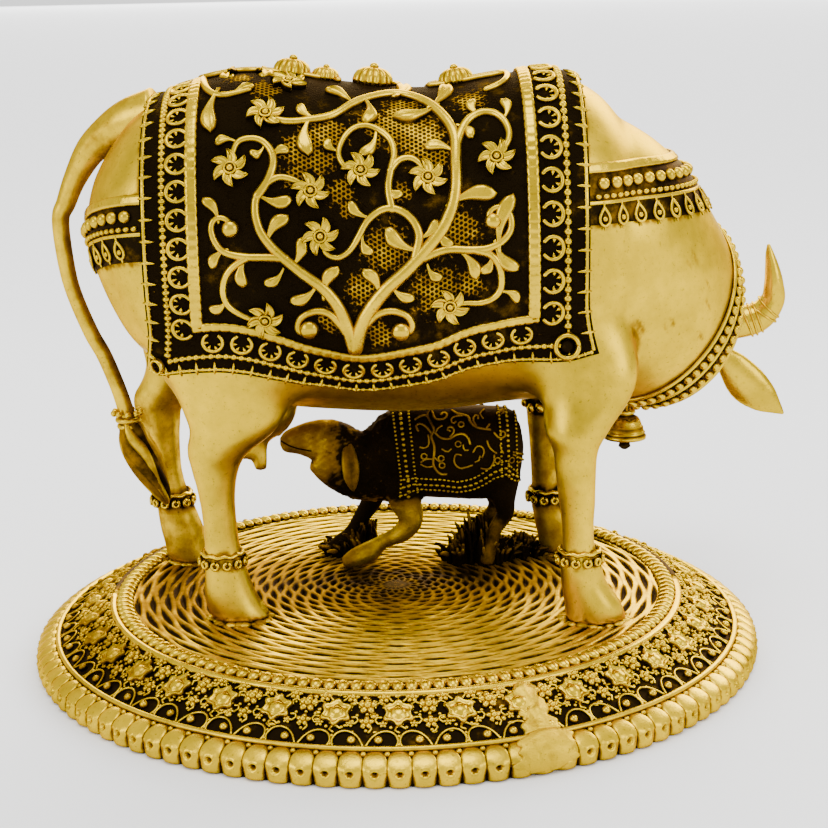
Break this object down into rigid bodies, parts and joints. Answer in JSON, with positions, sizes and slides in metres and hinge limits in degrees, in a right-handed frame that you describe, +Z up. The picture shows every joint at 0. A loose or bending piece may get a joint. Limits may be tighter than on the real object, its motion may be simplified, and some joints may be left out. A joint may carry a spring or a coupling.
{
  "type": "kamdhenu cow statue",
  "caption": "Cast brass cow under a carved saddle cloth, suckling her calf, on a round ornamented plinth; a table ornament.",
  "frame": {"origin": "centre of the plinth's flat underside", "axes": "+Z up, +X towards the cow's chest, +Y to the side that the cow's face looks to"},
  "size_m": [0.2714, 0.25, 0.1963],
  "materials": {
    "plinth_brass": "antique gold, polished high points over a dark brown patina",
    "cow_brass": "satin antique gold with a black patina in the carved cloth",
    "calf_brass": "dark patina with rubbed gold high points"
  },
  "bodies": {
    "root": {"base": "plinth_brass", "cow": "cow_brass", "calf": "calf_brass"}
  },
  "joints": []
}
